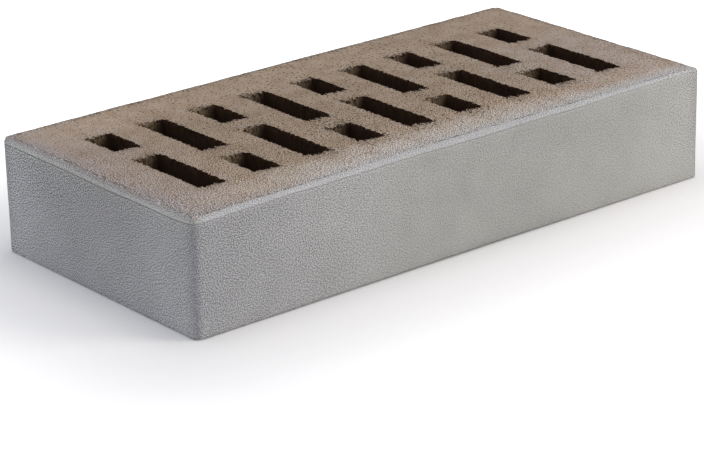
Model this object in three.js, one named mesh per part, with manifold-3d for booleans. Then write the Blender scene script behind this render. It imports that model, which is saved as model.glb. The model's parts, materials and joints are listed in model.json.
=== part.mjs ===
// Perforated clay facing brick of a thin format: one fired block, eighteen slots.
//
// The column of clay leaves the die lengthwise to the slots, so the slots and the four
// coated faces run straight up from bed to bed. Wires then cut the two bed faces, and a
// roller presses a bevel all round the upper one.
//
// Units are millimetres and +Z is up. The origin is the middle of the lower bed face,
// +X runs along the length and -Y is the stretcher face with the long slots behind it.
import * as THREE from 'three';
import { mergeVertices } from 'three/addons/utils/BufferGeometryUtils.js';
import Module from 'manifold-3d';

// ---- driving dimensions ----

// the block
const length = 250;
const width = 120;
const height = 46;

// the bevel pressed round the upper bed: how far it reaches in from the faces and down
const bevelIn = 2.4;
const bevelDown = 2.5;

// corner of the upper bed's outline, inside the bevel
const bedCornerRadius = 0.9;

// rounding of the arris round the lower bed
const lowerArrisRadius = 0.6;

// the slots: columns along the length, each with one long and one short slot in line
const columns = 9;
const slotWidth = 10.6;
const longSlot = 38.8;
const shortSlot = 18.4;
const slotCornerRadius = 1.6;

// clay left round the slots: end wall beyond the outer columns, web inside a column
const endWall = 21.7;
const rowWeb = 12.8;

// ---- sizes that follow ----

const uprightCornerRadius = bedCornerRadius + bevelIn;
const columnWeb = (length - 2 * endWall - columns * slotWidth) / (columns - 1);
const columnPitch = slotWidth + columnWeb;
const sideWall = (width - longSlot - rowWeb - shortSlot) / 2;

// straight run past a face, so that a cut or a trim never ends flush with it
const overrun = 5;

// line segments in a quarter turn
const cornerSegments = 8;
const slotCornerSegments = 5;
const arrisSegments = 3;

// ---- helpers ----

const wasm = await Module();
wasm.setup();

// Outline of a rectangle with round corners, from its middle and its full sizes.
function roundedRectangle(centreX, centreY, sizeX, sizeY, radius) {
  const left = centreX - sizeX / 2;
  const right = centreX + sizeX / 2;
  const front = centreY - sizeY / 2;
  const back = centreY + sizeY / 2;
  const quarter = Math.PI / 2;
  const outline = new THREE.Shape();
  outline.moveTo(left + radius, front);
  outline.lineTo(right - radius, front);
  outline.absarc(right - radius, front + radius, radius, -quarter, 0);
  outline.lineTo(right, back - radius);
  outline.absarc(right - radius, back - radius, radius, 0, quarter);
  outline.lineTo(left + radius, back);
  outline.absarc(left + radius, back - radius, radius, quarter, 2 * quarter);
  outline.lineTo(left, front + radius);
  outline.absarc(left + radius, front + radius, radius, 2 * quarter, 3 * quarter);
  return outline;
}

// A geometry as a solid that can be cut, with its shared corners merged.
function solid(geometry) {
  const plain = geometry.clone();
  plain.deleteAttribute('normal');
  plain.deleteAttribute('uv');
  const merged = mergeVertices(plain, 1e-4);
  return new wasm.Manifold(new wasm.Mesh({
    numProp: 3,
    vertProperties: new Float32Array(merged.attributes.position.array),
    triVerts: new Uint32Array(merged.index.array),
  }));
}

// The solid back as a geometry with flat faces.
function geometryOf(body) {
  const mesh = body.getMesh();
  const geometry = new THREE.BufferGeometry();
  geometry.setAttribute('position', new THREE.BufferAttribute(mesh.vertProperties, 3));
  geometry.setIndex(new THREE.BufferAttribute(mesh.triVerts, 1));
  const faceted = geometry.toNonIndexed();
  faceted.computeVertexNormals();
  return faceted;
}

// The block's outline drawn up through z, its sides full size between lower and upper.
// The extrusion narrows by size over the last run of each end.
function blockExtrusion(lower, upper, run, size, segments) {
  const outline = roundedRectangle(0, 0, length, width, uprightCornerRadius);
  const geometry = new THREE.ExtrudeGeometry(outline, {
    depth: upper - lower,
    curveSegments: cornerSegments,
    bevelEnabled: true,
    bevelThickness: run,
    bevelSize: size,
    bevelOffset: -size,
    bevelSegments: segments,
  });
  return geometry.translate(0, 0, lower);
}

// ---- the block ----

// Full sides up to the bevel, and down past the lower bed.
function bevelledAbove() {
  return solid(blockExtrusion(-overrun, height - bevelDown, bevelDown, bevelIn, 1));
}

// Full sides from the lower arris up past the upper bed.
function roundedBelow() {
  return solid(blockExtrusion(
    lowerArrisRadius, height + overrun, lowerArrisRadius, lowerArrisRadius, arrisSegments,
  ));
}

// ---- the slots ----

// One slot, from its middle and its length across the brick, through both beds.
function slotCut(centreX, centreY, slotLength) {
  const outline = roundedRectangle(centreX, centreY, slotWidth, slotLength, slotCornerRadius);
  const geometry = new THREE.ExtrudeGeometry(outline, {
    depth: height + 2 * overrun,
    curveSegments: slotCornerSegments,
    bevelEnabled: false,
  });
  return solid(geometry.translate(0, 0, -overrun));
}

// The slots of one column. The long slot lies to the front in the first column, to the
// back in the next, and so on along the brick.
function columnCuts(column) {
  const centreX = (column - (columns - 1) / 2) * columnPitch;
  const side = column % 2 === 0 ? -1 : 1;
  const outerEnd = width / 2 - sideWall;
  const longCentre = side * (outerEnd - longSlot / 2);
  const shortCentre = -side * (outerEnd - shortSlot / 2);
  return [
    slotCut(centreX, longCentre, longSlot),
    slotCut(centreX, shortCentre, shortSlot),
  ];
}

// ---- the brick ----

function brickGeometry() {
  let body = bevelledAbove().intersect(roundedBelow());
  for (let column = 0; column < columns; column += 1) {
    for (const cut of columnCuts(column)) {
      body = body.subtract(cut);
    }
  }
  return geometryOf(body);
}

const coatedClay = new THREE.MeshStandardMaterial({
  color: 0x9c9b99,
  roughness: 0.85,
  metalness: 0,
});

const brick = new THREE.Mesh(brickGeometry(), coatedClay);
brick.name = 'brick';

const group = new THREE.Group();
group.name = 'clay_brick';
group.add(brick);

export default group;
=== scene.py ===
"""Perforated clay facing brick: its fired surface, torn slot mouths, grit and a plain stage.

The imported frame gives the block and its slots. Everything here is laid out from those sizes, in
metres, with the brick lying on its lower bed, its length along X and its bevelled bed upward.
"""

import json
import math
from functools import partial

import bpy
import numpy as np
from bpy.props import FloatProperty, FloatVectorProperty, IntProperty, PointerProperty
from mathutils import Matrix, Vector
from mathutils.geometry import delaunay_2d_cdt


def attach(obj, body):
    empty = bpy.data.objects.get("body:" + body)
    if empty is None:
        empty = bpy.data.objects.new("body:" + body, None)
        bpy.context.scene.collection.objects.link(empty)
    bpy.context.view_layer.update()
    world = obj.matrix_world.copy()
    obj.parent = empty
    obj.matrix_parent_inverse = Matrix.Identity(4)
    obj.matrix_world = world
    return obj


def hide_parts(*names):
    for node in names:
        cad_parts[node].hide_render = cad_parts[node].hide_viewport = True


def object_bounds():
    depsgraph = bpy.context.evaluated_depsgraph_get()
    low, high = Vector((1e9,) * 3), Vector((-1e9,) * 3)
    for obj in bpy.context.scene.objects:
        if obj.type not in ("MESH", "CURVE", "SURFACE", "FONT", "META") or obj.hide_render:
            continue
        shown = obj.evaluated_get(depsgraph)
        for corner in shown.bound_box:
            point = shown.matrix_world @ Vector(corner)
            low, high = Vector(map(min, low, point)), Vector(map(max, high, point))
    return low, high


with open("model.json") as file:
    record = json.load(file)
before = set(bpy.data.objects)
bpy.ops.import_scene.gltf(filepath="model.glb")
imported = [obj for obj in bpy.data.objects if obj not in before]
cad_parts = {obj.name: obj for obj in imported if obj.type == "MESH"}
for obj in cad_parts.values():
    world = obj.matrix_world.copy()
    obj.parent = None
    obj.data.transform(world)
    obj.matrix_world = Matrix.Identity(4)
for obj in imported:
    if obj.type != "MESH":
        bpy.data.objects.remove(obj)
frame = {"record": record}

bl_info = {
    "name": "Perforated clay brick",
    "version": (1, 0, 0),
    "blender": (4, 5, 0),
    "location": "3D View > Sidebar > Clay brick",
    "description": "Builds a coated, perforated clay facing brick and a plain stage for it",
    "category": "Add Mesh",
}

# ---- sizes from the frame ----

MM = 0.001
CAD_LOW, CAD_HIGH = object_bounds()
LENGTH, WIDTH, HEIGHT = CAD_HIGH - CAD_LOW

# the frame states its openings as boxes this far inside the walls of a slot
OPENING_CLEARANCE = 0.6 * MM


def opening(name):
    """Middle and full size of a slot, as flat vectors, from the box that the frame states."""
    boxes = {o["name"]: o["box_m"] for o in frame["record"]["physics"]["openings"]}
    low, high = (np.array(corner[:2]) for corner in boxes[name])
    return (low + high) / 2, high - low + 2 * OPENING_CLEARANCE


LONG_MIDDLE, LONG_SIZE = opening("long_slot_1")
SHORT_MIDDLE, SHORT_SIZE = opening("short_slot_1")
PITCH = opening("long_slot_2")[0][0] - LONG_MIDDLE[0]
COLUMNS = round(-2 * LONG_MIDDLE[0] / PITCH) + 1

ROOT_BODY = "root"
CAD_NODE = "brick"

# ---- what the mesh knows about itself ----

# which surface a face belongs to
ZONE = "zone"
BED, FACE, SLOT = 0, 1, 2
# whether a face belongs to an end of the block, and not to a column of slots
END_CAP = "end_cap"
# distance out from the nearest slot mouth
MOUTH = "mouth_distance"
# 1 on the two ends of a slot, 0 along its sides
SLOT_END = "slot_end"
# 1 at the two corners of a slot over which the wire dragged clay; the slot walls there get painted
# light
DRAGGED = "dragged_corner"
# 1 where the cutting wire tore the bed, in line with the slots
TORN = "torn_bed"
# distance in from the outline of a bed, below 0 on the outside faces
INSET = "bed_inset"
# 1 in the fold under the bevel, where its shadow is painted
CREASE = "crease"
# 1 round an upright corner, where painted shade darkens the coat
CORNER = "upright_corner"
# 0 to 1, each grain's own shade
TONE = "tone"

# the mouth distance and the inset of a point that has none near
FAR = 1.0
DEEP_INSIDE = 50 * MM
# what a point knows unless its patch says otherwise
KNOWN = {MOUTH: FAR, SLOT_END: 0.0, DRAGGED: 0.0, TORN: 0.0, INSET: 0.0, CREASE: 0.0, CORNER: 0.0}

# ---- kinds of node that are used all over, each with the settings it is used with ----

PLUS, MINUS, TIMES, OVER, SMALLER, LARGER, UNSIGNED, ABOVE, REMAINDER = (
    ("ShaderNodeMath", {"operation": name})
    for name in ("ADD", "SUBTRACT", "MULTIPLY", "DIVIDE", "MINIMUM", "MAXIMUM", "ABSOLUTE",
                 "GREATER_THAN", "MODULO")
)
VECTOR_PLUS, VECTOR_MINUS, VECTOR_TIMES, VECTOR_SMALLER, VECTOR_LARGER, VECTOR_UNSIGNED = (
    ("ShaderNodeVectorMath", {"operation": name})
    for name in ("ADD", "SUBTRACT", "MULTIPLY", "MINIMUM", "MAXIMUM", "ABSOLUTE")
)
SCALED, VECTOR_LENGTH, DIRECTION = (
    ("ShaderNodeVectorMath", {"operation": name}) for name in ("SCALE", "LENGTH", "NORMALIZE")
)
RANGE = "ShaderNodeMapRange"
EASED = (RANGE, {"interpolation_type": "SMOOTHSTEP"})
CHOICE, BLEND, TINT = (("ShaderNodeMix", {"data_type": name}) for name in ("FLOAT", "VECTOR", "RGBA"))
FLAT_NOISE, NOISE, SEEDED_NOISE = (
    ("ShaderNodeTexNoise", {"noise_dimensions": name}) for name in ("2D", "3D", "4D")
)
COMBINE = "ShaderNodeCombineXYZ"
SEPARATE = "ShaderNodeSeparateXYZ"
KNOWLEDGE = ("GeometryNodeInputNamedAttribute", {"data_type": "FLOAT"})
IS_ABOVE = ("FunctionNodeCompare", {"operation": "GREATER_THAN"})
BOTH = ("FunctionNodeBooleanMath", {"operation": "AND"})
# those that put any number of values together, two at a time
CHAINED = (PLUS, TIMES, LARGER, VECTOR_PLUS, BOTH)


def add(tree, kind, *values, **settings):
    """Adds a node with its settings and links, and returns it.

    A kind is the type of a node, or that with its usual settings. Values go to its inputs in
    order, and those in a dict by the input's name. Each is plain, a socket, a node that stands for
    its first output, or a tuple that stands for a range: a value, where it starts and ends, and
    what that gives at each, which is 0 and 1 when left out."""
    if kind in CHAINED and len(values) > 2:
        return add(tree, kind, add(tree, kind, *values[:-1]), values[-1], **settings)
    kind, usual = (kind, {}) if isinstance(kind, str) else kind
    made = tree.nodes.new(kind)
    column, row = divmod(len(tree.nodes), 10)
    made.location = (230 * column, -260 * row)
    for name, value in {**usual, **settings}.items():
        setattr(made, name, value)
    given = dict(enumerate(value for value in values if not isinstance(value, dict)))
    for names in (value for value in values if isinstance(value, dict)):
        given.update(names)
    connect(tree, made, given)
    return made


def connect(tree, made, given):
    """Sets or links inputs of a node, each known by its name or by its place in the order."""
    live = [socket for socket in made.inputs if socket.enabled]
    for key, value in given.items():
        socket = live[key] if isinstance(key, int) else next(s for s in live if s.name == key)
        if isinstance(value, tuple) and isinstance(value[0], (bpy.types.Node, bpy.types.NodeSocket)):
            value = add(tree, RANGE, *value)
        if isinstance(value, bpy.types.Node):
            value = next(s for s in value.outputs if s.enabled)
        if isinstance(value, bpy.types.NodeSocket):
            tree.links.new(value, socket)
        else:
            socket.default_value = value


def band(node, value, start, full, fading, gone):
    """1 inside a band and 0 outside: it rises from start to full and falls from fading to gone."""
    return node(TIMES, (value, start, full), (value, fading, gone, 1, 0))


def linear(hex_colour):
    """An sRGB hex colour as linear RGBA."""
    channels = [int(hex_colour[i : i + 2], 16) / 255 for i in (1, 3, 5)]
    return (*(c / 12.92 if c <= 0.04045 else ((c + 0.055) / 1.055) ** 2.4 for c in channels), 1.0)


# ---- settings that a user would change ----

LengthProperty = partial(FloatProperty, unit="LENGTH")
ColourProperty = partial(FloatVectorProperty, subtype="COLOR", size=4, min=0, max=1)


class BrickSizes(bpy.types.PropertyGroup):
    """Edges and relief of the block, inside the frame's box"""

    bevel_in: LengthProperty(
        name="Bevel width", description="How far the bevel reaches in from the faces",
        default=2.4 * MM)
    bevel_down: LengthProperty(
        name="Bevel depth", description="How far the bevel reaches down the faces", default=2.5 * MM)
    corner_radius: LengthProperty(
        name="Corner radius", description="Radius of the four upright corners", default=3.3 * MM)
    lower_radius: LengthProperty(
        name="Lower arris", description="Rounding of the arris round the lower bed", default=1.0 * MM)
    slot_radius: LengthProperty(
        name="Slot corner", description="Radius of the corners of a slot, below its flared mouth",
        default=0.6 * MM)
    bed_relief: LengthProperty(
        name="Bed relief", description="Room kept above the upper bed for grit and crumbs",
        default=0.35 * MM)
    mouth_flare: LengthProperty(
        name="Mouth flare", description="How much wider the crumbled mouth of a slot is, each side",
        default=0.42 * MM)
    corner_pull: LengthProperty(
        name="Pulled corners", description="How far the wire pulled two corners of each slot along it",
        default=1.1 * MM)
    side_tear: LengthProperty(
        name="Tear of the sides", description="How far the long edges of a slot mouth wander",
        default=2.4 * MM)
    end_tear: LengthProperty(
        name="Tear of the ends", description="How far the ends of a slot mouth wander",
        default=3.0 * MM)
    seed: IntProperty(
        name="Seed", description="Another number gives another brick of the same batch", default=3)


class BrickColours(bpy.types.PropertyGroup):
    """Colours of the fired clay, of its coat and of the grains"""

    coat: ColourProperty(
        name="Engobe", description="The grey coat on the outside faces", default=linear("#a5a5a6"))
    thick_coat: ColourProperty(
        name="Thicker engobe", description="The same coat where it lies thicker",
        default=linear("#a4a4a0"))
    # painted shade: the darker colour on the rounded upright corners
    corner_shade_colour: ColourProperty(
        name="Corner engobe", description="The darker coat on the upright corners",
        default=linear("#62616a"))
    # painted highlight: the pale crest along the upper edge of the bevel
    crest_highlight: ColourProperty(
        name="Chips", description="Fresh pale chips along the upper edge of the bevel",
        default=linear("#d2d2d0"))
    clay: ColourProperty(
        name="Cut clay", description="The clay where the wire cut it", default=linear("#907d69"))
    pale_clay: ColourProperty(
        name="Pale clay", description="Drier, paler patches of the cut clay",
        default=linear("#9d8c7a"))
    iron: ColourProperty(
        name="Iron stain", description="Browner clay at the left of the front edge",
        default=linear("#8d745b"))
    haze: ColourProperty(
        name="Haze", description="Thin purplish dust of the coat over the ends of the bed",
        default=linear("#999190"))
    dust: ColourProperty(
        name="Dust", description="Paler dust of the coat along the front of the bed",
        default=linear("#b1aeab"))
    # painted shade: the dark in the pits, in the fold under the bevel and in the cracks of the rim
    painted_shade: ColourProperty(
        name="Pits", description="The bottoms of pits and of the fold under the bevel",
        default=linear("#30271f"))
    # painted shade: the clay inside a slot, darkened to near black
    core: ColourProperty(
        name="Core", description="The dark clay inside a slot", default=linear("#332216"))
    # painted light: the lit top of the slot walls at the dragged corners
    drag: ColourProperty(
        name="Dragged clay", description="The clay that the wire dragged over the ends of a slot",
        default=linear("#8b7a63"))
    dark_crumb: ColourProperty(
        name="Darkest crumb", description="The darkest of the crumbs at the slot mouths",
        default=linear("#75675a"))
    pale_crumb: ColourProperty(
        name="Palest crumb", description="The palest of the crumbs at the slot mouths",
        default=linear("#b3a492"))
    dark_grit: ColourProperty(
        name="Darkest grit", description="The darkest of the grit on the bed",
        default=linear("#6d5f53"))
    pale_grit: ColourProperty(
        name="Palest grit", description="The palest of the grit on the bed",
        default=linear("#b5a898"))


class ClayBrick(bpy.types.PropertyGroup):
    """All settings of the brick"""

    sizes: PointerProperty(type=BrickSizes)
    colours: PointerProperty(type=BrickColours)


# ---- the block's plain shape, in bays that the node tree repeats ----

# spacing of the points along the faces, down them, round a slot mouth, and over the beds
EDGE_STEP = 0.9 * MM
ROW_STEP = 3.4 * MM
MOUTH_STEP = 0.36 * MM
UPPER_FILL = 2.0 * MM
LOWER_FILL = 3.4 * MM
# rings round a mouth, as distance out and spacing, and the strip inside an outline without points
UPPER_RINGS = (
    (0.36 * MM, 0.4 * MM), (0.8 * MM, 0.55 * MM), (1.5 * MM, 0.9 * MM), (2.6 * MM, 1.4 * MM),
)
LOWER_RINGS = ((0.7 * MM, 0.8 * MM), (2.0 * MM, 1.7 * MM))
OUTLINE_MARGIN = 0.6 * MM
# the bevel is pressed hollow by this much; the fold under it is this deep at this drop below it,
# runs out to this at the next row, and is over at twice that drop
BEVEL_HOLLOW = 0.14 * MM
FOLD_DEPTH, FOLD_DROP = 0.22 * MM, 0.12 * MM
FOLD_RUNOUT, RUNOUT_DROP = 0.02 * MM, 0.3 * MM
# how far along a face the upright corner reaches, for its painted shade and its fuller bevel
CORNER_REACH = 3.6 * MM
# how deep the flare of a mouth reaches
FLARE_DEPTH = 1.4 * MM
# how far along and across a slot, and how deep, the pull on a corner reaches
PULL_REACH = np.array((2.0 * MM, 2.6 * MM))
PULL_DEPTH = 3.2 * MM
# how far dragged clay lies round a corner, and how far torn ground spreads beside and beyond a slot
DRAG_REACH = 4 * MM
TEAR_WIDTH, TEAR_REACH, TEAR_BACK = 3 * MM, 8 * MM, 2 * MM
# length of the turn from the end of a slot to its side
END_TURN = 1.2 * MM
# heights of the points on a slot's wall, as depth below the bed or height above the lower one
UPPER_DEPTHS = (0.35 * MM, 0.8 * MM, 1.6 * MM, 3.2 * MM, 7 * MM)
LOWER_DEPTHS = (8 * MM, 2.5 * MM, 0.8 * MM)


class Patches:
    """Points and faces gathered patch by patch, each with what it knows."""

    def __init__(self):
        self.points = []
        self.faces = []
        self.zones = []
        self.caps = []
        self.known = {name: [] for name in KNOWN}

    def add(self, points, faces, zone, cap, **known):
        """Adds a patch. What its points know is a list each, or stays at its usual value."""
        first = len(self.points)
        self.points += [tuple(p) for p in points]
        self.faces += [tuple(first + i for i in face) for face in faces]
        self.zones += [zone] * len(faces)
        self.caps += [cap] * len(faces)
        for name, usual in KNOWN.items():
            self.known[name] += list(known.get(name, np.full(len(points), usual)))

    def mesh(self, name):
        """The patches as one mesh, still open along their seams."""
        made = bpy.data.meshes.new(name)
        made.from_pydata(self.points, [], self.faces)
        made.attributes.new(ZONE, "INT", "FACE").data.foreach_set("value", self.zones)
        made.attributes.new(END_CAP, "BOOLEAN", "FACE").data.foreach_set("value", self.caps)
        for label, values in self.known.items():
            made.attributes.new(label, "FLOAT", "POINT").data.foreach_set("value", values)
        return made


class Run:
    """A stretch of the block's outline, as the middle of its rounding and the way it faces."""

    def __init__(self, core, facing, radius):
        self.core = np.array(core)
        self.facing = np.array(facing)
        self.radius = radius

    def at(self, inset):
        """The stretch drawn this far inside the faces."""
        return self.core + self.facing * (self.radius - inset)

    def corner_share(self, reach):
        """1 on the middle of an upright corner, fading out over the reach beside it."""
        middle = np.array((LENGTH, WIDTH)) / 2 - self.radius
        away = np.linalg.norm(np.abs(self.core) - middle, axis=1)
        turned = np.arcsin(np.clip(np.abs(self.facing).min(axis=1), 0, 1)) / (math.pi / 4)
        return np.clip(0.35 + 0.65 * turned - 0.35 * away / reach, 0, 1)


def spread(start, stop, step):
    """Even values from start to stop, both included, about a step apart."""
    return np.linspace(start, stop, max(1, round(abs(stop - start) / step)) + 1)


def rounded_outline(centre, size, radius, step):
    """Points round a rectangle with round corners, clockwise, about a step apart."""
    half = np.array(size) / 2 - radius
    corners = []
    turns = max(2, round(radius * math.pi / 2 / step))
    for sign, start in (((1, 1), 90), ((1, -1), 0), ((-1, -1), -90), ((-1, 1), -180)):
        for angle in np.radians(np.linspace(start, start - 90, turns + 1)):
            arc = radius * np.array((math.cos(angle), math.sin(angle)))
            corners.append(np.array(centre) + half * sign + arc)
    points = []
    for a, b in zip(corners, corners[1:] + corners[:1]):
        pieces = max(1, round(np.linalg.norm(b - a) / step))
        points += [a + (b - a) * k / pieces for k in range(pieces)]
    return np.array(points)


def rounded_distance(points, centre, size, radius):
    """Distance of points outside a rectangle with round corners, below 0 inside it."""
    reach = np.abs(points - np.array(centre)) - (np.array(size) / 2 - radius)
    outside = np.linalg.norm(np.maximum(reach, 0), axis=1)
    return outside + np.minimum(reach.max(axis=1), 0) - radius


def column_slots():
    """Middle and size of the two slots of the first column, about the column's own middle."""
    return [((0.0, LONG_MIDDLE[1]), LONG_SIZE), ((0.0, SHORT_MIDDLE[1]), SHORT_SIZE)]


def mouth_loop(centre, size, sizes, share=1.0):
    """Points round a slot, moved out by a share of the flare of its mouth."""
    loop = rounded_outline(centre, size, sizes.slot_radius, MOUTH_STEP)
    core = size / 2 - sizes.slot_radius
    out = loop - centre - np.clip(loop - centre, -core, core)
    return loop + out / sizes.slot_radius * sizes.mouth_flare * share


def pulled(flat, slots, amount):
    """Flat points, moved where the wire pulled the back left and front right corners of a slot."""
    moved = flat.copy()
    for centre, size in slots:
        for side in (-1, 1):
            corner = centre + size / 2 * (side, -side)
            share = np.exp(-(((flat - corner) / PULL_REACH) ** 2).sum(axis=1))
            moved[:, 1] -= side * amount * share
    return moved


def sheet(outline, slots, sizes, rings, fill):
    """A bed inside its outline, finer round the slots, as flat points and triangles."""
    loops = [outline]
    near = []
    slot_radius, flare = sizes.slot_radius, sizes.mouth_flare
    for centre, size in slots:
        loops.append(mouth_loop(centre, size, sizes))
        for away, step in rings:
            out = away + flare
            near.append(rounded_outline(centre, size + 2 * out, slot_radius + out, step))
    low, high = outline.min(axis=0), outline.max(axis=0)
    wide = []
    for number, y in enumerate(spread(low[1], high[1], fill * math.sqrt(0.75))):
        xs = np.arange(low[0] + fill * (0.5 + number % 2) / 2, high[0], fill)
        wide.append(np.column_stack((xs, np.full(len(xs), y))))
    wide = np.concatenate(wide)
    clear = flare + rings[-1][0] + fill / 2
    for centre, size in slots:
        wide = wide[rounded_distance(wide, centre, size, slot_radius) > clear]
    inner = np.concatenate([*near, wide])
    inner = inner[((inner > low + OUTLINE_MARGIN) & (inner < high - OUTLINE_MARGIN)).all(axis=1)]
    for centre, size in slots:
        inner = inner[rounded_distance(inner, centre, size, slot_radius) > flare + rings[0][0] / 2]
    edges = []
    first = 0
    for loop in loops:
        edges += [(first + k, first + (k + 1) % len(loop)) for k in range(len(loop))]
        first += len(loop)
    # the triangulation works in millimetres, where its tolerance is fine enough
    points = [Vector(p) for p in np.concatenate([*loops, inner]) / MM]
    found, _, faces, *_ = delaunay_2d_cdt(points, edges, [], 1, 1e-5)
    flat = np.array([tuple(p) for p in found]) * MM
    middles = flat[np.array(faces)].mean(axis=1)
    inside = np.ones(len(faces), bool)
    for centre, size in slots:
        inside &= rounded_distance(middles, centre, size, slot_radius) > flare
    return flat, [tuple(f) for f, kept in zip(faces, inside) if kept]


def grid_faces(columns, rows):
    """Quads of a grid of points that runs row by row."""
    return [
        (r * columns + c, (r + 1) * columns + c, (r + 1) * columns + c + 1, r * columns + c + 1)
        for r in range(rows - 1)
        for c in range(columns - 1)
    ]


def face_rows(sizes):
    """Inset, height and crease of each row of points down the outside, from bed to bed."""
    top = HEIGHT - sizes.bed_relief
    fold = HEIGHT - sizes.bevel_down
    rows = []
    for t in np.linspace(0, 1, 7):
        deep = BEVEL_HOLLOW * math.sin(math.pi * t)
        rows.append((sizes.bevel_in * (1 - t) + deep, top + (fold - top) * t - deep, 0.1 * (t == 1)))
    rows.append((FOLD_DEPTH, fold - FOLD_DROP, 1.0))
    rows.append((FOLD_RUNOUT, fold - RUNOUT_DROP, 0.0))
    rows += [(0, z, 0.0) for z in spread(fold - 2 * RUNOUT_DROP, sizes.lower_radius, ROW_STEP)]
    for angle in np.radians((30, 60, 90)):
        drop = sizes.lower_radius * (1 - math.sin(angle))
        rows.append((sizes.lower_radius * (1 - math.cos(angle)), drop, 0.0))
    return np.array(rows)


def bed_knowledge(flat, slots, sizes, inset, cap):
    """What the points of a bed know: their distances from mouths and outline, and the tears."""
    mouth = np.full(len(flat), FAR)
    end, dragged, torn = np.zeros((3, len(flat)))
    for centre, size in slots:
        away = rounded_distance(flat, centre, size, sizes.slot_radius) - sizes.mouth_flare
        mouth = np.minimum(mouth, np.maximum(away, 0))
        beyond_x, beyond_y = (np.abs(flat - centre) - size / 2).T
        end = np.maximum(end, slot_end_share(beyond_x, beyond_y))
        near = np.clip(1.2 - away / DRAG_REACH, 0, 1)
        dragged = np.maximum(dragged, near * dragged_share(flat, centre, size))
        in_line = np.clip(1 - beyond_x / TEAR_WIDTH, 0, 1) * (beyond_y > -TEAR_BACK)
        torn = np.maximum(torn, in_line * np.clip(1.15 - beyond_y / TEAR_REACH, 0, 1))
    outline = (LENGTH - 2 * inset, WIDTH - 2 * inset)
    across = flat if cap else flat * (0, 1)
    edge = -rounded_distance(across, (0, 0), outline, sizes.corner_radius - inset)
    return {MOUTH: mouth, SLOT_END: end, DRAGGED: dragged, TORN: torn, INSET: edge}


def slot_end_share(beyond_x, beyond_y):
    """1 past the end of a slot and 0 past its side, from how far out a point lies each way."""
    return np.clip(0.5 + (beyond_y - beyond_x) / END_TURN, 0, 1)


def dragged_share(points, centre, size):
    """1 at the back left and front right corners of a slot, falling to 0 at the other two."""
    reach = (points - centre) / (size / 2)
    beyond_x, beyond_y = (np.abs(points - centre) - size / 2).T
    across = np.clip(reach[:, 0] * np.sign(reach[:, 1]), -1, 1)
    return slot_end_share(beyond_x, beyond_y) * np.clip(0.6 - 0.65 * across, 0, 1)


def add_bay(patches, sizes, runs, slots, cap):
    """Adds a stretch of the block: both beds, the outside and the walls of its slots."""
    rows = face_rows(sizes)
    for (inset, z, _), rings, fill, upper in (
        (rows[0], UPPER_RINGS, UPPER_FILL, True),
        (rows[-1], LOWER_RINGS, LOWER_FILL, False),
    ):
        ends = [run.at(inset) for run in runs]
        outline = []
        for end, after in zip(ends, ends[1:] + ends[:1]):
            outline += list(end)
            # the border that the next bay shares
            pieces = max(2, round((WIDTH - 2 * inset) / UPPER_FILL))
            outline += [end[-1] + (after[0] - end[-1]) * k / pieces for k in range(1, pieces)]
        flat, faces = sheet(np.array(outline), slots, sizes, rings, fill)
        faces = faces if upper else [face[::-1] for face in faces]
        known = bed_knowledge(flat, slots, sizes, inset, cap)
        points = np.column_stack((pulled(flat, slots, sizes.corner_pull), np.full(len(flat), z)))
        patches.add(points, faces, BED, cap, **known)
    for run in runs:
        count = len(run.core)
        points = [(*xy, z) for inset, z, _ in rows for xy in run.at(inset)]
        known = {
            INSET: np.repeat(rows[:, 1] - HEIGHT, count),
            CREASE: np.repeat(rows[:, 2], count),
            CORNER: np.tile(run.corner_share(CORNER_REACH), len(rows)),
        }
        patches.add(points, grid_faces(count, len(rows)), FACE, cap, **known)
    top, bottom = rows[0][1], rows[-1][1]
    levels = [top, *(top - d for d in UPPER_DEPTHS), (top + bottom) / 2]
    levels += [*(bottom + d for d in LOWER_DEPTHS), bottom]
    for centre, size in slots:
        points = []
        for z in levels:
            depth = min(top - z, z - bottom)
            loop = mouth_loop(centre, size, sizes, max(0, 1 - depth / FLARE_DEPTH))
            loop = np.concatenate((loop, loop[:1]))
            loop = pulled(loop, slots, sizes.corner_pull * max(0, 1 - depth / PULL_DEPTH))
            points += [(*xy, z) for xy in loop]
        loop = mouth_loop(centre, size, sizes, 0)
        loop = np.concatenate((loop, loop[:1]))
        end = slot_end_share(*(np.abs(loop - centre) - size / 2).T)
        known = {
            MOUTH: np.zeros(len(points)),
            SLOT_END: np.tile(end, len(levels)),
            DRAGGED: np.tile(dragged_share(loop, centre, size), len(levels)),
            INSET: np.full(len(points), DEEP_INSIDE),
        }
        patches.add(points, grid_faces(len(loop), len(levels)), SLOT, cap, **known)


def block_patches(sizes):
    """One column of slots and one end of the block."""
    patches = Patches()
    radius = sizes.corner_radius
    core_x, core_y = LENGTH / 2 - radius, WIDTH / 2 - radius
    xs = spread(-PITCH / 2, PITCH / 2, EDGE_STEP)
    front = Run([(x, -core_y) for x in xs], [(0, -1)] * len(xs), radius)
    back = Run([(x, core_y) for x in xs[::-1]], [(0, 1)] * len(xs), radius)
    add_bay(patches, sizes, [front, back], column_slots(), cap=False)

    xs = spread(COLUMNS * PITCH / 2, core_x, EDGE_STEP)[:-1]
    ys = spread(-core_y, core_y, EDGE_STEP)[1:-1]
    quarter = np.linspace(0, math.pi / 2, 9)
    points = [((x, -core_y), (0, -1)) for x in xs]
    points += [((core_x, -core_y), (math.sin(angle), -math.cos(angle))) for angle in quarter]
    points += [((core_x, y), (1, 0)) for y in ys]
    points += [((core_x, core_y), (math.cos(angle), math.sin(angle))) for angle in quarter]
    points += [((x, core_y), (0, 1)) for x in xs[::-1]]
    add_bay(patches, sizes, [Run(*zip(*points), radius)], [], cap=True)
    return patches


# ---- node trees for the fired surface and what lies on it ----


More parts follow.
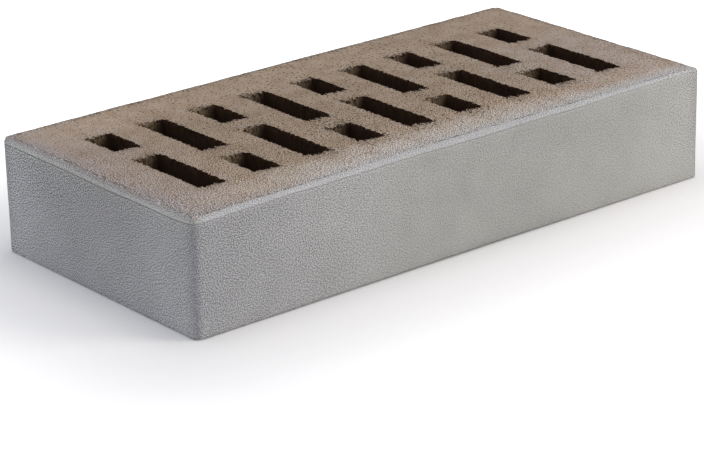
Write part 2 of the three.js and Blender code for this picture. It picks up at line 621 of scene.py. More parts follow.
def new_tree(name, sockets):
    """A geometry node tree with a geometry in and out and these named inputs."""
    tree = bpy.data.node_groups.new(name, "GeometryNodeTree")
    tree.interface.new_socket("Geometry", in_out="OUTPUT", socket_type="NodeSocketGeometry")
    tree.interface.new_socket("Geometry", in_out="INPUT", socket_type="NodeSocketGeometry")
    for label, kind in sockets.items():
        tree.interface.new_socket(label, in_out="INPUT", socket_type="NodeSocket" + kind)
    return tree


def settle(name, source, tree, inputs):
    """Runs a tree on a mesh with these inputs and returns the result as a plain object."""
    holder = bpy.data.objects.new(name + "_source", source)
    bpy.context.scene.collection.objects.link(holder)
    modifier = holder.modifiers.new(tree.name, "NODES")
    modifier.node_group = tree
    sockets = [item for item in tree.interface.items_tree if item.in_out == "INPUT"]
    identifiers = {socket.name: socket.identifier for socket in sockets}
    for label, value in inputs.items():
        modifier[identifiers[label]] = value
    bpy.context.view_layer.update()
    depsgraph = bpy.context.evaluated_depsgraph_get()
    made = bpy.data.meshes.new_from_object(holder.evaluated_get(depsgraph), depsgraph=depsgraph)
    bpy.data.objects.remove(holder)
    made.name = name
    piece = bpy.data.objects.new(name, made)
    bpy.context.scene.collection.objects.link(piece)
    return piece


def repeat_bays(node, tree, given):
    """The column of slots in a row, every other one turned half a turn, between two ends."""
    end_cap = node(KNOWLEDGE, {"Name": END_CAP}, data_type="BOOLEAN")
    parted = node("GeometryNodeSeparateGeometry", given["Geometry"], end_cap, domain="FACE")
    odd = node(REMAINDER, node("GeometryNodeInputIndex"), 2)
    half_turn = node(COMBINE, {"Z": node(TIMES, odd, math.pi)})
    count, pitch = given["Columns"], given["Column pitch"]
    start = node(TIMES, node(MINUS, count, 1), -0.5, pitch)
    row = node("GeometryNodeMeshLine", {
        "Count": count, "Start Location": node(COMBINE, {"X": start}),
        "Offset": node(COMBINE, {"X": pitch}),
    })
    pair = node("GeometryNodePoints", {"Count": 2})
    columns, ends = (
        node("GeometryNodeInstanceOnPoints", {
            "Points": points, "Instance": parted.outputs[share], "Rotation": half_turn,
        })
        for points, share in ((row, "Inverted"), (pair, "Selection"))
    )
    joined = node("GeometryNodeJoinGeometry", columns)
    tree.links.new(ends.outputs[0], joined.inputs[0])
    whole = node("GeometryNodeRealizeInstances", joined)
    return node("GeometryNodeMergeByDistance", {
        "Geometry": whole, "Distance": given["Weld distance"],
    })


def block_tree():
    """Repeats the bays into the block and gives it the surface that cutting and firing leave."""
    tree = new_tree("Fired block", {
        "Columns": "Int", "Column pitch": "Float", "Size": "Vector", "Weld distance": "Float",
        "Corner radius": "Float", "Bevel width": "Float", "Side tear": "Float",
        "End tear": "Float", "Seed": "Float", "Coated clay": "Material", "Core clay": "Material",
    })
    node = partial(add, tree)
    given = node("NodeGroupInput").outputs
    whole = repeat_bays(node, tree, given)

    place = node("GeometryNodeInputPosition")
    in_mm = node(SCALED, place, 1 / MM)
    x, y, z = node(SEPARATE, place).outputs
    height = node(SEPARATE, given["Size"]).outputs["Z"]
    half = node(SCALED, given["Size"], 0.5)
    half_x, half_y, _ = node(SEPARATE, half).outputs
    from_left, from_front = node(PLUS, x, half_x), node(PLUS, y, half_y)
    from_right = node(MINUS, half_x, x)
    drop = node(MINUS, height, z)
    depth = node(SMALLER, drop, z)
    mouth, slot_end, dragged, torn, corner = (
        node(KNOWLEDGE, {"Name": name}) for name in (MOUTH, SLOT_END, DRAGGED, TORN, CORNER)
    )
    seed = given["Seed"]
    slow, quick, hollow, scab = (
        node(SEEDED_NOISE, {"Vector": in_mm, "W": seed, "Scale": scale, "Detail": detail})
        for scale, detail in ((0.035, 2), (0.45, 3), (0.08, 3), (0.7, 2))
    )

    # the way each point of the rim faces, and how far inside the outline it lies
    radius, bevel = given["Corner radius"], given["Bevel width"]
    core = node(VECTOR_MINUS, half, node(COMBINE, radius, radius, 0))
    flat = node(VECTOR_TIMES, place, (1, 1, 0))
    nearest = node(VECTOR_LARGER, node(VECTOR_SMALLER, flat, core), node(SCALED, core, -1))
    reach = node(VECTOR_MINUS, flat, node(VECTOR_TIMES, nearest, (1, 1, 0)))
    facing = node(DIRECTION, reach)
    inset = node(MINUS, radius, node(VECTOR_LENGTH, reach))
    facing_x, facing_y, _ = node(SEPARATE, facing).outputs
    back_or_right = node(LARGER, facing_x, facing_y, use_clamp=True)

    # the roller pressed the bevel unevenly, and less deep along the front face, the back and the
    # right end
    uneven = node(RANGE, slow, 0.35, 0.65, -0.08, 0.08)
    on_front = node(RANGE, from_front, 10 * MM, 4 * MM)
    by_right = node(EASED, x, 20 * MM, 120 * MM, 0, 0.32)
    by_left = node(RANGE, from_left, 37 * MM, 13 * MM, 0.36, 0.14)
    to_corner = node(RANGE, from_right, 6 * MM, 1.5 * MM, 1, 0.2)
    shallow = node(TIMES, node(PLUS, by_right, by_left), to_corner, on_front)
    raised = node(PLUS, shallow, uneven, node(TIMES, back_or_right, 0.4))
    near_top = node(RANGE, drop, 3.2 * MM, 9 * MM, 1, 0)
    inner_edge = node(PLUS, bevel, 0.1 * MM)
    on_rim = node(RANGE, inset, inner_edge, node(PLUS, bevel, 0.8 * MM), 1, 0)
    upward = node(TIMES, node(MINUS, drop, 0.3 * MM), raised, near_top, on_rim)

    # and more or less wide: widest in the middle of the front, narrow at the back and the right,
    # with a ragged upper edge
    off_middle = node(UNSIGNED, node(PLUS, x, 3 * MM))
    by_middle = node(EASED, off_middle, 5 * MM, 65 * MM, -0.8, -0.1)
    narrow_front = node(TIMES, node(PLUS, by_middle, (x, -60 * MM, -85 * MM, 0, 0.35)), on_front)
    narrow = node(PLUS, narrow_front, node(TIMES, back_or_right, 0.55))
    ragged = node(TIMES, (quick, 0.3, 0.7, -0.1, 0.1), (drop, 0.5 * MM, 2.5 * MM, 1, 0))
    outward = node(
        TIMES, node(SMALLER, inset, node(PLUS, bevel, 0.2 * MM)),
        node(PLUS, uneven, ragged, narrow), (inset, inner_edge, 7 * MM, 1, 0),
    )

    # the bevel is fuller at the upright corners
    bulge = node(
        TIMES, node(EASED, drop, 0.35 * MM, 1.4 * MM), node(EASED, drop, 1.4 * MM, 2.5 * MM, 1, 0),
        corner, 0.42 * MM,
    )
    pressed = node(SCALED, facing, node(PLUS, outward, bulge))
    pressed = node(VECTOR_PLUS, pressed, node(COMBINE, {"Z": node(PLUS, upward, bulge)}))

    # torn mouths: the ends of a slot are pulled to teeth along Y, its sides wander along X
    near = node(TIMES, node(EASED, mouth, 0, 3.2 * MM, 1, 0), (depth, 0.3 * MM, 3 * MM, 1, 0))
    torn_out = {}
    for axis, stretch, share, amount in (
        ("X", (0.03, 1, 0.1), node(MINUS, 1, slot_end), "Side tear"),
        ("Y", (0.8, 0.03, 0.1), slot_end, "End tear"),
    ):
        jagged = node(SEEDED_NOISE, {
            "Vector": node(VECTOR_TIMES, in_mm, stretch), "W": seed,
            "Scale": 1, "Detail": 2, "Roughness": 0.75,
        })
        most = node(TIMES, near, share, given[amount])
        torn_out[axis] = node(TIMES, (jagged, 0.35, 0.65, -0.5, 0.5), most)
    teeth = node(COMBINE, torn_out)

    # slot walls: marks of the die, which run straight up and down
    zone = node(KNOWLEDGE, {"Name": ZONE}, data_type="INT")
    in_slot = node("FunctionNodeCompare", zone, SLOT, data_type="INT", operation="EQUAL")
    upright = node(VECTOR_TIMES, in_mm, (1, 1, 0.03))
    drawn = node(SEEDED_NOISE, {"Vector": upright, "W": seed, "Scale": 0.5, "Detail": 2})
    drawn = node(VECTOR_MINUS, drawn.outputs["Color"], (0.5, 0.5, 0.5))
    drawn = node(SCALED, node(VECTOR_TIMES, drawn, (0.4 * MM, 0.4 * MM, 0)), in_slot)

    # beds: hollows, always inward, deeper where the wire tore the clay, and sagging at the mouths
    scabs = node(TIMES, (scab, 0.4, 0.75, 0, 0.5 * MM), torn)
    sag = node(TIMES, (mouth, 0, 1.1 * MM, 0.35 * MM, 0), dragged, (quick, 0.35, 0.65, 0.3, 1))
    dip = node(PLUS, (hollow, 0.3, 0.7, 0, 0.2 * MM), scabs, sag)
    inward = node(RANGE, node(MINUS, z, drop), -MM, MM, 1, -1)
    dip = node(TIMES, dip, inward, (depth, 0.35 * MM, 0.9 * MM, 1, 0))

    # firing: the lower arris arches a little, and the faces move in slowly
    share_x = node(OVER, x, half_x)
    low_share = node(RANGE, z, 0, node(TIMES, height, 0.6), 1, 0)
    arch = node(TIMES, node(MINUS, node(TIMES, share_x, share_x), 1), -0.35 * MM, low_share)
    wave = node(SCALED, facing, (slow, 0.3, 0.7, 0, -0.2 * MM))

    # the left end was pushed down a little under the roller
    pushed = node(
        TIMES, node(EASED, from_left, 23 * MM, 3 * MM, 0, -0.6 * MM), (drop, 26 * MM, 3 * MM),
        node(EASED, y, 25 * MM, -15 * MM), (from_front, 15 * MM, 0, 1, 0.5),
    )

    rise = node(COMBINE, {"Z": node(PLUS, arch, pushed, dip)})
    moved = node(VECTOR_PLUS, pressed, teeth, drawn, rise, wave)
    shaped = node("GeometryNodeSetPosition", {"Geometry": whole, "Offset": moved})
    real = node("GeometryNodeRealizeInstances", node("GeometryNodeSetShadeSmooth", shaped))
    coated = node("GeometryNodeSetMaterial", {"Geometry": real, "Material": given["Coated clay"]})
    cored = node("GeometryNodeSetMaterial", {
        "Geometry": coated, "Selection": in_slot, "Material": given["Core clay"],
    })
    node("NodeGroupOutput", cored)
    return tree


def grain_tree():
    """Scatters broken grains over the upper bed, thickest on the torn ground and the mouths."""
    tree = new_tree("Broken grains", {
        "Bed density": "Float", "Torn density": "Float", "Mouth density": "Float",
        "Smallest": "Float", "Largest": "Float", "Sink": "Float", "Bed height": "Float", "Seed": "Int",
        "Material": "Material",
    })
    node = partial(add, tree)
    given = node("NodeGroupInput").outputs
    mouth, torn, inset = (node(KNOWLEDGE, {"Name": name}) for name in (MOUTH, TORN, INSET))
    facing_up = node(SEPARATE, node("GeometryNodeInputNormal")).outputs["Z"]
    height = node(SEPARATE, node("GeometryNodeInputPosition")).outputs["Z"]
    upper_bed = node(
        BOTH, node(IS_ABOVE, facing_up, 0.9), node(IS_ABOVE, height, given["Bed height"]),
        node(IS_ABOVE, inset, 0.5 * MM),
    )
    near_mouth = node(RANGE, mouth, 0.2 * MM, 1 * MM, 1, 0)
    density = node(
        PLUS, node(TIMES, near_mouth, given["Mouth density"]),
        node(TIMES, torn, given["Torn density"]), given["Bed density"],
    )
    points = node("GeometryNodeDistributePointsOnFaces", {
        "Mesh": given["Geometry"], "Selection": upper_bed, "Density": density,
        "Seed": given["Seed"],
    })
    sunk = node("GeometryNodeSetPosition", {
        "Geometry": points.outputs["Points"], "Offset": node(COMBINE, {"Z": given["Sink"]}),
    })
    # a ball one across, turned, then scaled to the length of the grain and less the other ways
    ball = node("GeometryNodeMeshIcoSphere", {"Radius": 0.5, "Subdivisions": 1})
    turn, long_side, shape, tone = (
        node("FunctionNodeRandomValue", {**limits, "Seed": seed}, data_type=kind)
        for seed, kind, limits in (
            (1, "FLOAT_VECTOR", {"Max": (math.tau, math.tau, math.tau)}),
            (2, "FLOAT", {"Min": given["Smallest"], "Max": given["Largest"]}),
            (3, "FLOAT_VECTOR", {"Min": (0.55, 0.55, 0.45), "Max": (1, 1, 0.8)}),
            (4, "FLOAT", {}),
        )
    )
    grains = node("GeometryNodeInstanceOnPoints", {
        "Points": sunk, "Instance": ball, "Rotation": turn, "Scale": node(SCALED, shape, long_side),
    })
    toned = node("GeometryNodeStoreNamedAttribute", {
        "Geometry": grains, "Name": TONE, "Value": tone,
    }, domain="INSTANCE", data_type="FLOAT")
    real = node("GeometryNodeRealizeInstances", toned)
    coloured = node("GeometryNodeSetMaterial", {"Geometry": real, "Material": given["Material"]})
    node("NodeGroupOutput", coloured)
    return tree


# ---- materials ----

# fired clay is mostly silicates
CLAY_IOR = 1.5
# how far the flat patterns of the right and the back faces, and of the specks, are moved along
# the pattern, in mm, so that none repeats another
RIGHT_SHIFT, BACK_SHIFT, SPECK_SHIFT = 300, 700, 500


def cleared(thing):
    """Empties the node tree of a material or a world and returns what adds nodes to it."""
    thing.use_nodes = True
    thing.node_tree.nodes.clear()
    return partial(add, thing.node_tree)


def new_material(name, roughness, specular):
    """Fired clay with its shader and output in place: material, what adds its nodes, shader."""
    made = bpy.data.materials.new(name)
    node = cleared(made)
    shader = node("ShaderNodeBsdfPrincipled", {
        "Roughness": roughness, "IOR": CLAY_IOR, "Specular IOR Level": specular,
    })
    node("ShaderNodeOutputMaterial", shader)
    return made, node, shader


def coated_clay(sizes, colours):
    """Matt engobe sprayed on wire-cut facing clay.

    The coat is a thin slip that dries and fires matt, with the fine orange peel of a spray and
    darker freckles where it is thin. It covers the faces and the bevel and drifts onto the bed.
    The bed is dry, rough clay: pitted, gritty and blotched, with no gloss at all. Light and shade are
    also painted into the colours: the faces lighter to the right and towards the floor, highlights on
    the bevel, its crest and the lip under its fold, and shade in the pits, the fold, the cracks of the
    rim and on the upright corners.
    Every place and cell below is in mm."""
    made, node, shader = new_material("engobe_on_wire_cut_clay", roughness=0.88, specular=0.35)
    mm = node(SCALED, node("ShaderNodeTexCoord").outputs["Object"], 1 / MM)
    x, y, z = node(SEPARATE, mm).outputs
    inset, mouth, dragged, torn, crease, corner = (
        node("ShaderNodeAttribute", attribute_name=name).outputs["Fac"]
        for name in (INSET, MOUTH, DRAGGED, TORN, CREASE, CORNER)
    )
    inset_mm, mouth_mm = (node(TIMES, distance, 1 / MM) for distance in (inset, mouth))
    half_x, half_y, bevel = LENGTH / 2 / MM, WIDTH / 2 / MM, sizes.bevel_in / MM
    out_x, out_y = node(UNSIGNED, x), node(UNSIGNED, y)
    at_end = node(RANGE, out_x, half_x - 6, half_x - 4)

    # the finest pattern is flat on each side: round the block and up on the faces, and along and
    # across on the beds
    round_it = node(MINUS, out_x, out_y)
    to_right_half = node(TIMES, node(ABOVE, x, 0), RIGHT_SHIFT)
    to_back_half = node(TIMES, node(ABOVE, y, 0), BACK_SHIFT)
    along = node(PLUS, round_it, to_right_half, to_back_half)
    deep = node(SMALLER, node(MINUS, half_x, out_x), node(MINUS, half_y, out_y))
    on_faces = node(COMBINE, along, node(PLUS, z, deep), 0)
    skin = node(BLEND, node(ABOVE, inset, 0), on_faces, mm)

    # peel and sand in a cell of 0.41 mm, coarser than they are, because finer wouldn't show;
    # then sand of 0.6 mm, grain of 1.3 mm, patches of 9 mm and clouds of 40 mm
    fine = node(FLAT_NOISE, {"Vector": skin, "Scale": 1 / 0.41, "Detail": 0})
    sand, grain, patch, cloud = (
        node(NOISE, {"Vector": mm, "Scale": 1 / cell, "Detail": detail, "Roughness": roughness})
        for cell, detail, roughness in ((0.6, 1, 0.7), (1.3, 2, 0.65), (9, 3, 0.55), (40, 2, 0.5))
    )

    # coat: freckled, most at both ends
    on_bevel = node(RANGE, inset_mm, -2.7, -2)
    freckle = node(
        TIMES, node(PLUS, (fine, 0.2, 0.8, -0.8, 0.8), (grain, 0.25, 0.75, -0.02, 0.02)),
        node(EASED, x, -75, -10, 1, 0.5), (x, 90, 118, 1, 1.7),
        node(CHOICE, at_end, 0.97, (y, 25, 55, 1.25, 1.55)),
        node(CHOICE, on_bevel, 1, node(CHOICE, at_end, (x, -75, -10, 1, 2.1), 0.9)),
    )
    # painted highlight on the bevel, most low down and, in front, at the left
    front_bevel_highlight = node(TIMES, (x, -60, -85, 0, 0.14), (y, -52, -57))
    bevel_highlight = node(
        PLUS,
        (inset_mm, -2, -0.2, 0.17, 0), (y, -40, -56, 0.04, 0), (grain, 0.3, 0.6, -0.02, 0.02), front_bevel_highlight,
    )
    # a painted highlight on the lip under the fold, and a stretch right of the middle where the coat
    # is thin
    lip_highlight = node(TIMES, band(node, inset_mm, -4.2, -3, -2.75, -2.6), 0.1)
    thin = node(TIMES, node(EASED, x, -20, 25, 0, -0.08), node(EASED, x, 50, 110, 1, 0))
    # painted light and shade over the coat's own freckles, clouds and patches: lighter to the right,
    # nearer the key lamp, lighter to the front and back of the ends than in their middle, and lighter
    # towards the floor, which throws light up
    light = node(
        PLUS, freckle, (cloud, 0.3, 0.7, -0.06, 0.06), (patch, 0.3, 0.7, -0.04, 0.04),
        (x, -120, 120, 0.94, 1.05), (x, -115, -60, node(CHOICE, at_end, -0.04, 0.02), 0),
        (out_y, 15, 45, -0.1, 0.03), (z, 36, 0, 0, node(CHOICE, at_end, 0.07, 0.15)),
        thin, lip_highlight, node(TIMES, bevel_highlight, on_bevel),
    )
    # thicker to the right and along the top of the ends, with painted shade darkening the upright
    # corners
    thick = node(LARGER, node(TIMES, (x, -120, 0), (on_bevel, 0, 1, 1, 0.2)),
                 node(TIMES, at_end, (z, 34, 43, 0, 0.7)))
    coat = node(SCALED, node(TINT, thick, colours.coat, colours.thick_coat), light)
    corner_shade = node(TIMES, corner, (grain, 0.3, 0.6, 0.62, 0.3))
    coat = node(TINT, corner_shade, coat, colours.corner_shade_colour)

    # bed: two clays in patches, sandy, most so in front on the left
    clay = node(TINT, (patch, 0.38, 0.62), colours.clay, colours.pale_clay)
    to_right = node(RANGE, x, 40, 100, 1, 0.6)
    sandy = node(
        TIMES, node(PLUS, (sand, 0.2, 0.8, -0.2, 0.2), (fine, 0.2, 0.8, -1.25, 1.25)),
        (y, 40, -50, 0.38, 1.2), (x, -50, -105, 0.9, 1.2), to_right,
    )
    # paler along the front and at both ends, and along the back except at the right
    at_back = node(PLUS, (x, -40, -90, 0.17, 0.28), (x, 30, 90, 0, -0.17))
    dusty = node(
        PLUS, node(EASED, y, -50, -26, 1.22, 0.93), (y, 22, 45, 0, at_back),
        (x, -70, -110, 0, 0.1), (x, 60, 115, 0, 0.12),
    )
    clay = node(SCALED, clay, node(PLUS, sandy, dusty))

    # pits, where the clay is loose: torn ground, the front, the slot mouths and the rim, and single
    # specks between them; their dents are bumps, and their dark colour is painted shade
    fringe = node(TIMES, (mouth_mm, 0.3, 2, 0.15, 0), (dragged, 0, 0.6, 0.2, 1))
    loose = node(
        PLUS, node(TIMES, torn, 0.1), (y, 0, -50, 0, 0.065), fringe,
        (inset_mm, 0.2, 5, node(CHOICE, at_end, 0.09, 0.05), 0),
    )
    pitted = node(NOISE, {"Vector": mm, "Scale": 1 / 0.95, "Detail": 1, "Roughness": 0.5})
    elsewhere = node(VECTOR_PLUS, skin, (SPECK_SHIFT, 0, 0))
    specks = node(FLAT_NOISE, {"Vector": elsewhere, "Scale": 1 / 1.15, "Detail": 0})
    pitted = node(PLUS, pitted, loose)
    specks = node(PLUS, specks, node(TIMES, loose, 0.25))
    pits = node(LARGER, (pitted, 0.7, 0.715), (specks, 0.76, 0.775))
    pits = node(TIMES, pits, (x, -100, -50, 0.5, to_right))

    # a purplish haze of the coat over both ends, paler dust along the front and browner clay in
    # it, by the distance in from the bevel
    from_end, from_front = node(PLUS, x, half_x - bevel), node(PLUS, y, half_y - bevel)
    from_corner = node(VECTOR_LENGTH, node(COMBINE, from_end, from_front, 0))
    uneven = node(RANGE, patch, 0.35, 0.65, 0.75, 1.25)
    right_end = node(TIMES, (x, 40, 100, 0, 0.35), (y, 30, 0, 0.15, 1))
    haze = node(
        PLUS,
        (from_end, 0, 8, 0.45, 0), (from_end, 4, 45, 0.42, 0), (from_corner, 5, 35, 0.4, 0), right_end,
    )
    haze = node(TIMES, haze, uneven, use_clamp=True)
    most = node(PLUS, (x, -100, -65, 0.3, 0.92), (x, 45, 90, 0, 0.2))
    dust_width = node(RANGE, x, 30, 80, 22, 9.5)
    dust = node(TIMES, most, node(MINUS, 1, node(OVER, from_front, dust_width, use_clamp=True)))
    dust = node(PLUS, dust, (from_front, 0, 3.5, 0.35, 0))
    dust = node(TIMES, dust, uneven, use_clamp=True)
    bare = node(TIMES, (x, -55, -80, 0, 0.3), (y, -38, -52), (patch, 0.5, 0.62))
    # all three are as sandy as the bed, worn along the front at the left, and paler away from there
    worn = node(TIMES, (from_front, 9, 2, 0, -0.15), (x, -60, -80))
    shade = node(PLUS, node(TIMES, sandy, 1.05), 1, worn, (x, -110, -60, 0, 0.1))
    for share, colour in ((haze, colours.haze), (dust, colours.dust), (bare, colours.iron)):
        clay = node(TINT, share, clay, node(SCALED, colour[:3], shade))
    # dust half fills the pits, so their painted shade is weaker there
    pit_shade = node(TIMES, pits, (dust, 0, 0.8, 1, 0.4))
    clay = node(TINT, pit_shade, clay, colours.painted_shade)

    # drift of the spray: loose specks along the front, and a coat that thins over the bevel
    drift = node(TIMES, (from_front, 0, 9, 0.3, 0), (x, -80, -20, 0.2, 1))
    on_bed = node(TIMES, (node(PLUS, drift, sand), 0.68, 0.8, 0, 0.6), (drift, 0, 0.03))
    thinned = node(RANGE, inset_mm, -2.2, 0, 1, node(CHOICE, at_end, 0.85, 0.1))
    on_face = node(TIMES, (inset_mm, 0, 0.1, 1, 0), thinned)
    covered = node(LARGER, on_bed, on_face)
    colour = node(TINT, covered, clay, coat)

    # broken rim of the bed: dark dashes of painted shade in its cracks that come and go, and pale
    # dashes of painted highlight on the crest beside them
    stretch = node(BLEND, at_end, (0.55, 1, 1), (1, 0.4, 1))
    dashed = node(NOISE, {
        "Vector": node(VECTOR_TIMES, mm, stretch), "Scale": 1 / 0.9, "Detail": 2, "Roughness": 0.7,
    })
    come_and_go = node(RANGE, node(NOISE, {"Vector": mm, "Scale": 1 / 14}), 0.35, 0.65, -0.07, 0.05)
    near_rim = node(TIMES, band(node, inset_mm, -0.6, 0, 0.3, 2.4), 0.16)
    rim = node(PLUS, near_rim, dashed, come_and_go)
    strength = node(CHOICE, at_end, (x, 20, 70, 0.85, 0.5), 0.6)
    rim = node(TIMES, (rim, 0.66, 0.71, 0, strength), band(node, inset_mm, -0.6, -0.3, 1.5, 2.4))
    crest_highlights = node(TIMES, band(node, inset_mm, -1, -0.6, 0.1, 0.5),
                 (dashed, 0.41, 0.37, 0, node(CHOICE, at_end, 0.2, 0.9)))

    # painted shadow in the fold under the bevel: an even line on the ends, a fainter one with gaps on
    # the long faces
    on_long_face = node(RANGE, round_it, half_x - half_y + 1, half_x - half_y - 1.5)
    fading = node(TIMES, node(CHOICE, on_long_face, 1.1, 0.55), (x, 40, 110, 1, 0.6))
    gaps = node(RANGE, node(NOISE, {"Vector": mm, "Scale": 1 / 7, "Detail": 3}), 0.35, 0.6,
                node(CHOICE, on_long_face, 0.9, 0.2), 1.1)
    fold = node(TIMES, node(TIMES, crease, gaps), fading, use_clamp=True)
    for share, other in ((rim, colours.painted_shade), (crest_highlights, colours.crest_highlight), (fold, colours.painted_shade)):
        colour = node(TINT, share, colour, other)

    # relief: the coat's peel is shallow, the bed's grain deeper, pits deepest
    peel = node(PLUS, node(TIMES, fine, 0.2), node(TIMES, grain, 0.3))
    rough = node(PLUS, node(TIMES, fine, 0.8), node(TIMES, grain, 1.3))
    rough = node(MINUS, rough, node(TIMES, pits, 1.6))
    height = node(CHOICE, covered, rough, peel)
    bump = node("ShaderNodeBump", {"Height": height, "Strength": 1, "Distance": 0.22 * MM})
    connect(made.node_tree, shader, {"Base Color": colour, "Normal": bump})
    return made


def core_clay(colours):
    """Extruded clay inside a slot: smoother than the cut bed and streaked upright by the die. Its
    colour is painted near black as the shade inside the slot, with painted light on the top of the
    walls at the dragged corners that fades down the wall."""
    made, node, shader = new_material("extruded_core_clay", roughness=0.9, specular=0.15)
    mm = node(SCALED, node("ShaderNodeTexCoord").outputs["Object"], 1 / MM)
    z = node(SEPARATE, mm).outputs["Z"]
    dragged = node("ShaderNodeAttribute", attribute_name=DRAGGED).outputs["Fac"]
    upright = node(VECTOR_TIMES, mm, (1, 1, 0.06))
    # streaks of 0.9 mm, grain of 0.8 mm and gaps of 0.75 mm, which are painted shade between crumbs
    streak, grain, gap_shade = (
        node(NOISE, {"Vector": at, "Scale": 1 / cell, "Detail": detail, "Roughness": rough})
        for at, cell, detail, rough in ((upright, 0.9, 3, 0.6), (mm, 0.8, 3, 0.6), (mm, 0.75, 1, 0.5))
    )
    # painted light on the walls at the dragged corners: a paler clay colour that fades down the wall,
    # with gaps in it
    from_bed = node(SMALLER, node(MINUS, HEIGHT / MM, z), z)
    ragged = node(PLUS, (grain, 0.3, 0.7, -1.2, 1.2), from_bed)
    pale = node(TIMES, (ragged, 0, 10.5, 1.1, 0), dragged)
    colour = node(TINT, pale, colours.core, colours.drag)
    streaks = node(TIMES, (streak, 0.25, 0.75, 0.65, 1.35), (grain, 0.25, 0.75, 0.75, 1.25))
    colour = node(SCALED, colour, streaks)
    # painted shade in the gaps between crumbs, more of them near the bed
    gap_shade = node(PLUS, gap_shade, (from_bed, 0.3, 4, 0.1, -0.06))
    colour = node(TINT, (gap_shade, 0.57, 0.62, 0, 0.85), colour, colours.core)
    height = node(PLUS, streak, grain)
    bump = node("ShaderNodeBump", {"Height": height, "Strength": 1, "Distance": 0.25 * MM})
    connect(made.node_tree, shader, {"Base Color": colour, "Normal": bump})
    return made


def grain_clay(name, dark, pale):
    """Crushed fired clay: dry broken grains, each with a shade of its own."""
    made, node, shader = new_material(name, roughness=0.95, specular=0.5)
    tone = node("ShaderNodeAttribute", attribute_name=TONE).outputs["Fac"]
    connect(made.node_tree, shader, {"Base Color": node(TINT, tone, dark, pale)})
    return made


# ---- operators ----

# points of two bays closer than this are one
WELD_DISTANCE = 0.02 * MM
# grains lie above this height, sunk by this share of the length of the largest
GRAIN_GROUND = HEIGHT - 2 * MM
GRAIN_SINK = 0.18
# where the faces meet at more than this the edge stays sharp
SHARP_ANGLE = math.radians(50)


def declare(piece):
    """Every piece is part of the one fired body."""
    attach(piece, ROOT_BODY)
    print(piece.name, len(piece.data.polygons), "faces")


class CLAYBRICK_OT_block(bpy.types.Operator):
    """Build the fired block with its slots, bevel and coated faces"""

    bl_idname = "clay_brick.block"
    bl_label = "Fired block"

    def execute(self, context):
        sizes = context.scene.clay_brick.sizes
        colours = context.scene.clay_brick.colours
        source = block_patches(sizes).mesh("brick_bays")
        piece = settle("fired_block", source, block_tree(), {
            "Columns": COLUMNS,
            "Column pitch": PITCH,
            "Size": (LENGTH, WIDTH, HEIGHT),
            "Weld distance": WELD_DISTANCE,
            "Corner radius": sizes.corner_radius,
            "Bevel width": sizes.bevel_in,
            "Side tear": sizes.side_tear,
            "End tear": sizes.end_tear,
            "Seed": float(sizes.seed),
            "Coated clay": coated_clay(sizes, colours),
            "Core clay": core_clay(colours),
        })
        piece.data.set_sharp_from_angle(angle=SHARP_ANGLE)
        declare(piece)
        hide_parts(CAD_NODE)
        return {"FINISHED"}


class CLAYBRICK_OT_grains(bpy.types.Operator):
    """Scatter the crumbs of the torn mouths and the grit of the bed"""

    bl_idname = "clay_brick.grains"
    bl_label = "Crumbs and grit"

    def execute(self, context):
        colours = context.scene.clay_brick.colours
        crumb, grit = (colours.dark_crumb, colours.pale_crumb), (colours.dark_grit, colours.pale_grit)
        tree = grain_tree()
        ground = bpy.data.objects["fired_block"].data
        # grains to the square metre on the bed, on torn ground and at the mouths, and their sizes
        for name, bed, torn, mouth, smallest, largest, shades, seed in (
            ("mouth_crumbs", 0.0, 40e3, 170e3, 0.3 * MM, 0.65 * MM, crumb, 11),
            ("bed_grit", 110e3, 60e3, 0.0, 0.16 * MM, 0.34 * MM, grit, 12),
        ):
            piece = settle(name, ground.copy(), tree, {
                "Bed density": bed, "Torn density": torn, "Mouth density": mouth,
                "Smallest": smallest, "Largest": largest, "Sink": -GRAIN_SINK * largest,
                "Bed height": GRAIN_GROUND, "Seed": seed,
                "Material": grain_clay(name + "_clay", *shades),
            })
            declare(piece)
        return {"FINISHED"}


class CLAYBRICK_OT_stage(bpy.types.Operator):
    """Set a pale floor, soft lamps and the camera"""

    bl_idname = "clay_brick.stage"
    bl_label = "Stage"

    def execute(self, context):
        build_floor()
        build_lights(context.scene)
        build_camera(context.scene)
        return {"FINISHED"}


# ---- the stage ----

FLOOR_SIZE = 8.0
FLOOR_COLOUR = linear("#f4f4f4")
# the floor's own glow at the brick and this far away from it, which leaves a shadow round it
GLOW_REACH, GLOW_NEAR, GLOW_FAR = 0.18, 0.03, 0.8
ROOM_COLOUR, ROOM_STRENGTH = linear("#f3f6ff"), 0.62
# name, width, watts, colour and place of each round lamp, aimed at the brick
LAMPS = (
    ("key_lamp", 0.4, 2.3, linear("#fff4e6"), (0.45, -0.6, 0.46)),
    ("overhead_lamp", 1.0, 6.3, linear("#fffaf4"), (0.1, 0.0, 1.6)),
)
IMAGE_WIDTH = 704
CAMERA_AZIMUTH = -39.13
CAMERA_ELEVATION = 21.05
CAMERA_ROLL = -1.27
CAMERA_LENS_PIXELS = 2812.7
SENSOR_WIDTH = 36.0
# a point in the middle of the brick's plan, and where the camera has it: right, down and away
AIM_HEIGHT = 0.032
AIM_RIGHT, AIM_DOWN, CAMERA_DISTANCE = 0.00355, -0.03944, 1.08461


def seen_rays(node):
    """1 on the rays that show a thing to the eye: straight, mirrored, or through something clear."""
    path = node("ShaderNodeLightPath")
    rays = (path.outputs[f"Is {kind} Ray"] for kind in ("Camera", "Glossy", "Transmission"))
    return node(LARGER, *rays)


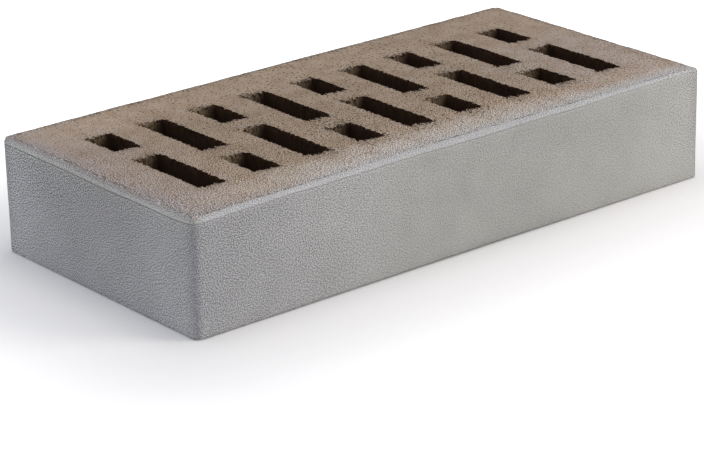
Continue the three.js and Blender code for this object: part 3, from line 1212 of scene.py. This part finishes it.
def build_floor():
    """A matt pale floor that shows white, and keeps the soft shadow round the brick."""
    half = FLOOR_SIZE / 2
    corners = [(-half, -half, 0), (half, -half, 0), (half, half, 0), (-half, half, 0)]
    mesh = bpy.data.meshes.new("floor")
    mesh.from_pydata(corners, [], [(0, 1, 2, 3)])
    floor = bpy.data.objects.new("floor", mesh)
    bpy.context.scene.collection.objects.link(floor)
    material = bpy.data.materials.new("pale_floor")
    node = cleared(material)
    place = node(VECTOR_UNSIGNED, node("ShaderNodeTexCoord").outputs["Object"])
    outside = node(VECTOR_LARGER, node(VECTOR_MINUS, place, (LENGTH / 2, WIDTH / 2, 0)), (0, 0, 0))
    glow = node(EASED, node(VECTOR_LENGTH, outside), 0.0, GLOW_REACH, GLOW_NEAR, GLOW_FAR)
    matt = node("ShaderNodeBsdfDiffuse", {"Color": FLOOR_COLOUR})
    shown = node("ShaderNodeEmission", {"Strength": node(TIMES, glow, seen_rays(node))})
    node("ShaderNodeOutputMaterial", node("ShaderNodeAddShader", matt, shown))
    mesh.materials.append(material)


def build_lights(scene):
    """A soft cool room that shows white, a lamp on the right in front, and a wide one overhead."""
    world = bpy.data.worlds.new("studio")
    scene.world = world
    node = cleared(world)
    room = node("ShaderNodeBackground", {"Color": ROOM_COLOUR, "Strength": ROOM_STRENGTH})
    white = node("ShaderNodeBackground", {"Color": (1, 1, 1, 1), "Strength": 1.0})
    node("ShaderNodeOutputWorld", node("ShaderNodeMixShader", seen_rays(node), room, white))
    for name, size, power, colour, place in LAMPS:
        light = bpy.data.lights.new(name, "AREA")
        light.shape = "DISK"
        light.size = size
        light.energy = power
        light.color = colour[:3]
        lamp = bpy.data.objects.new(name, light)
        lamp.location = place
        lamp.rotation_mode = "QUATERNION"
        lamp.rotation_quaternion = (-Vector(place)).to_track_quat("-Z", "Y")
        scene.collection.objects.link(lamp)


def build_camera(scene):
    """A long lens that looks down at the front left corner."""
    a, e = math.radians(CAMERA_AZIMUTH), math.radians(CAMERA_ELEVATION)
    back = Vector((math.sin(a) * math.cos(e), -math.cos(a) * math.cos(e), math.sin(e)))
    right = Vector((0, 0, 1)).cross(back).normalized()
    up = back.cross(right)
    roll = Matrix.Rotation(math.radians(CAMERA_ROLL), 3, back)
    right, up = roll @ right, roll @ up
    data = bpy.data.cameras.new("camera")
    data.sensor_width = SENSOR_WIDTH
    data.lens = CAMERA_LENS_PIXELS / IMAGE_WIDTH * SENSOR_WIDTH
    data.clip_end = 20
    camera = bpy.data.objects.new("camera", data)
    place = Vector((0, 0, AIM_HEIGHT)) + back * CAMERA_DISTANCE - right * AIM_RIGHT + up * AIM_DOWN
    turn = Matrix((right, up, back)).transposed().to_4x4()
    camera.matrix_world = Matrix.Translation(place) @ turn
    scene.collection.objects.link(camera)
    scene.camera = camera
    scene.view_settings.view_transform = "Standard"


# ---- the add-on ----


class CLAYBRICK_PT_panel(bpy.types.Panel):
    """Lists the brick's pieces and settings"""

    bl_label = "Clay brick"
    bl_idname = "CLAYBRICK_PT_panel"
    bl_space_type = "VIEW_3D"
    bl_region_type = "UI"
    bl_category = "Clay brick"

    def draw(self, context):
        settings = context.scene.clay_brick
        for operator in OPERATORS:
            self.layout.operator(operator.bl_idname)
        for group in (settings.sizes, settings.colours):
            for name in group.__annotations__:
                self.layout.prop(group, name)


OPERATORS = (CLAYBRICK_OT_stage, CLAYBRICK_OT_block, CLAYBRICK_OT_grains)
CLASSES = (BrickSizes, BrickColours, ClayBrick, *OPERATORS, CLAYBRICK_PT_panel)


def register():
    for kind in CLASSES:
        bpy.utils.register_class(kind)
    bpy.types.Scene.clay_brick = PointerProperty(type=ClayBrick)


def unregister():
    del bpy.types.Scene.clay_brick
    for kind in reversed(CLASSES):
        bpy.utils.unregister_class(kind)


def main():
    register()
    bpy.ops.clay_brick.stage()
    bpy.ops.clay_brick.block()
    bpy.ops.clay_brick.grains()


if __name__ == "__main__":
    main()
